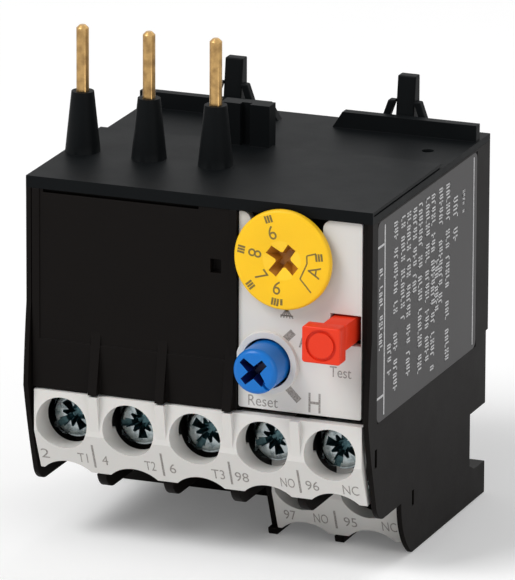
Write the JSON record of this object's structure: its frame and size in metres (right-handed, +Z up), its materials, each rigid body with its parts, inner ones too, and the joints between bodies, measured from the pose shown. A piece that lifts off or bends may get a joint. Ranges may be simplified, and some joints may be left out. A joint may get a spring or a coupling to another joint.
{
  "type": "thermal overload relay",
  "caption": "Plug-on bimetal overload relay with setting dial, reset and test buttons, plug pins, latches and screw terminals.",
  "frame": {"origin": "middle of the bottom of the relay's bounding box", "axes": "+X to the right seen from the front, +Y from the front face to the back, +Z up along the plug pins"},
  "size_m": [0.045, 0.0462, 0.0631],
  "materials": {
    "black_moulding": "fine spark-eroded texture, black thermoplastic",
    "white_moulding": "smooth light grey-white thermoplastic",
    "grey_label": "satin printed film",
    "yellow_moulding": "smooth yellow thermoplastic",
    "blue_moulding": "smooth blue thermoplastic",
    "red_moulding": "smooth orange-red thermoplastic",
    "natural_moulding": "unpigmented thermoplastic",
    "brass": "drawn brass, slightly dulled",
    "tinned_copper": "tinned copper alloy strip",
    "bimetal": "rolled bimetal strip",
    "resistance_alloy": "flattened resistance wire",
    "zinc_steel": "zinc plated, blue passivated steel",
    "spring_steel": "bright drawn spring wire"
  },
  "bodies": {
    "housing": {"housing_body": "black_moulding", "top_cover": "black_moulding", "front_cover": "black_moulding", "control_panel": "white_moulding", "terminal_cover": "white_moulding", "lower_terminal_cover": "white_moulding", "terminal_block": "black_moulding", "lower_terminal_block": "black_moulding", "rating_label": "grey_label", "opener_strap_upper": "tinned_copper", "opener_strap_lower": "tinned_copper", "closer_strap_upper": "tinned_copper", "closer_strap_lower": "tinned_copper", "reset_spring": "spring_steel", "test_spring": "spring_steel", "mechanism_frame": "natural_moulding", "rocker_pin": "spring_steel", "crank_pin": "spring_steel", "latch_left": "black_moulding", "latch_right": "black_moulding", "contact_pin_1": "brass", "bimetal_1": "bimetal", "heater_1": "resistance_alloy", "main_strap_1": "tinned_copper", "contact_pin_2": "brass", "bimetal_2": "bimetal", "heater_2": "resistance_alloy", "main_strap_2": "tinned_copper", "contact_pin_3": "brass", "bimetal_3": "bimetal", "heater_3": "resistance_alloy", "main_strap_3": "tinned_copper"},
    "dial": {"setting_dial": "yellow_moulding", "setting_cam": "natural_moulding"},
    "adjuster": {"adjusting_lever": "natural_moulding"},
    "reset_selector": {"reset_sleeve": "natural_moulding"},
    "reset_knob": {"reset_button": "blue_moulding"},
    "test_plunger": {"test_button": "red_moulding"},
    "slider": {"trip_slider": "natural_moulding"},
    "crank": {"crank_lever": "bimetal"},
    "rocker": {"contact_rocker": "natural_moulding", "opener_bridge": "tinned_copper", "closer_bridge": "tinned_copper"},
    "clamp_1": {"screw_clamp_1": "zinc_steel"},
    "screw_1": {"terminal_screw_1": "zinc_steel"},
    "clamp_2": {"screw_clamp_2": "zinc_steel"},
    "screw_2": {"terminal_screw_2": "zinc_steel"},
    "clamp_3": {"screw_clamp_3": "zinc_steel"},
    "screw_3": {"terminal_screw_3": "zinc_steel"},
    "clamp_4": {"screw_clamp_4": "zinc_steel"},
    "screw_4": {"terminal_screw_4": "zinc_steel"},
    "clamp_5": {"screw_clamp_5": "zinc_steel"},
    "screw_5": {"terminal_screw_5": "zinc_steel"},
    "clamp_6": {"screw_clamp_6": "zinc_steel"},
    "screw_6": {"terminal_screw_6": "zinc_steel"},
    "clamp_7": {"screw_clamp_7": "zinc_steel"},
    "screw_7": {"terminal_screw_7": "zinc_steel"}
  },
  "joints": [
    {"name": "dial_turn", "type": "hinge", "parent": "housing", "child": "dial", "pos_m": [0.0113, -0.01965, 0.0403], "axis": [0, -1, 0], "range_deg": [0, 161]},
    {"name": "adjuster_swing", "type": "hinge", "parent": "housing", "child": "adjuster", "pos_m": [0.0146, -0.01245, 0.0342], "axis": [0, 1, 0], "range_deg": [0, 10.53]},
    {"name": "reset_select", "type": "hinge", "parent": "housing", "child": "reset_selector", "pos_m": [0.0089, -0.01265, 0.0268], "axis": [0, -1, 0], "range_deg": [0, 100]},
    {"name": "reset_push", "type": "slide", "parent": "reset_selector", "child": "reset_knob", "axis": [0, 1, 0], "range_m": [0, 0.002], "stiffness_N_per_m": 400, "deforming": ["reset_spring"]},
    {"name": "test_push", "type": "slide", "parent": "housing", "child": "test_plunger", "axis": [0, 1, 0], "range_m": [0, 0.002], "stiffness_N_per_m": 400, "deforming": ["test_spring"]},
    {"name": "slider_trip", "type": "slide", "parent": "housing", "child": "slider", "axis": [1, 0, 0], "range_m": [0, 0.001]},
    {"name": "crank_swing", "type": "hinge", "parent": "housing", "child": "crank", "pos_m": [0.008, 0.00675, 0.0398], "axis": [0, 0, 1], "range_deg": [0, 10.43]},
    {"name": "rocker_swing", "type": "hinge", "parent": "housing", "child": "rocker", "pos_m": [0.0135, 0.01095, 0.0298], "axis": [-1, 0, 0], "range_deg": [0, 7.18]},
    {"name": "clamp_1_lift", "type": "slide", "parent": "housing", "child": "clamp_1", "axis": [0, -1, 0], "range_m": [0, 0.0018]},
    {"name": "screw_1_turn", "type": "hinge", "parent": "clamp_1", "child": "screw_1", "pos_m": [-0.0178, -0.01445, 0.0161], "axis": [0, -1, 0], "range_deg": [0, 1082]},
    {"name": "clamp_2_lift", "type": "slide", "parent": "housing", "child": "clamp_2", "axis": [0, -1, 0], "range_m": [0, 0.0018]},
    {"name": "screw_2_turn", "type": "hinge", "parent": "clamp_2", "child": "screw_2", "pos_m": [-0.00903, -0.01445, 0.0161], "axis": [0, -1, 0], "range_deg": [0, 1082]},
    {"name": "clamp_3_lift", "type": "slide", "parent": "housing", "child": "clamp_3", "axis": [0, -1, 0], "range_m": [0, 0.0018]},
    {"name": "screw_3_turn", "type": "hinge", "parent": "clamp_3", "child": "screw_3", "pos_m": [-0.00026, -0.01445, 0.0161], "axis": [0, -1, 0], "range_deg": [0, 1082]},
    {"name": "clamp_4_lift", "type": "slide", "parent": "housing", "child": "clamp_4", "axis": [0, -1, 0], "range_m": [0, 0.0018]},
    {"name": "screw_4_turn", "type": "hinge", "parent": "clamp_4", "child": "screw_4", "pos_m": [0.00851, -0.01445, 0.0161], "axis": [0, -1, 0], "range_deg": [0, 1082]},
    {"name": "clamp_5_lift", "type": "slide", "parent": "housing", "child": "clamp_5", "axis": [0, -1, 0], "range_m": [0, 0.0018]},
    {"name": "screw_5_turn", "type": "hinge", "parent": "clamp_5", "child": "screw_5", "pos_m": [0.01728, -0.01445, 0.0161], "axis": [0, -1, 0], "range_deg": [0, 1082]},
    {"name": "clamp_6_lift", "type": "slide", "parent": "housing", "child": "clamp_6", "axis": [0, -1, 0], "range_m": [0, 0.0018]},
    {"name": "screw_6_turn", "type": "hinge", "parent": "clamp_6", "child": "screw_6", "pos_m": [0.00851, -0.00165, 0.0075], "axis": [0, -1, 0], "range_deg": [0, 1082]},
    {"name": "clamp_7_lift", "type": "slide", "parent": "housing", "child": "clamp_7", "axis": [0, -1, 0], "range_m": [0, 0.0018]},
    {"name": "screw_7_turn", "type": "hinge", "parent": "clamp_7", "child": "screw_7", "pos_m": [0.01728, -0.00165, 0.0075], "axis": [0, -1, 0], "range_deg": [0, 1082]}
  ],
  "couplings": [
    {"joint": "adjuster_swing", "follows": "dial_turn", "ratio": 0.064174},
    {"joint": "crank_swing", "follows": "slider_trip", "rad_per_m": 178.57},
    {"joint": "rocker_swing", "follows": "slider_trip", "rad_per_m": 121.75},
    {"joint": "screw_1_turn", "follows": "clamp_1_lift", "rad_per_m": 10472},
    {"joint": "screw_2_turn", "follows": "clamp_2_lift", "rad_per_m": 10472},
    {"joint": "screw_3_turn", "follows": "clamp_3_lift", "rad_per_m": 10472},
    {"joint": "screw_4_turn", "follows": "clamp_4_lift", "rad_per_m": 10472},
    {"joint": "screw_5_turn", "follows": "clamp_5_lift", "rad_per_m": 10472},
    {"joint": "screw_6_turn", "follows": "clamp_6_lift", "rad_per_m": 10472},
    {"joint": "screw_7_turn", "follows": "clamp_7_lift", "rad_per_m": 10472}
  ]
}
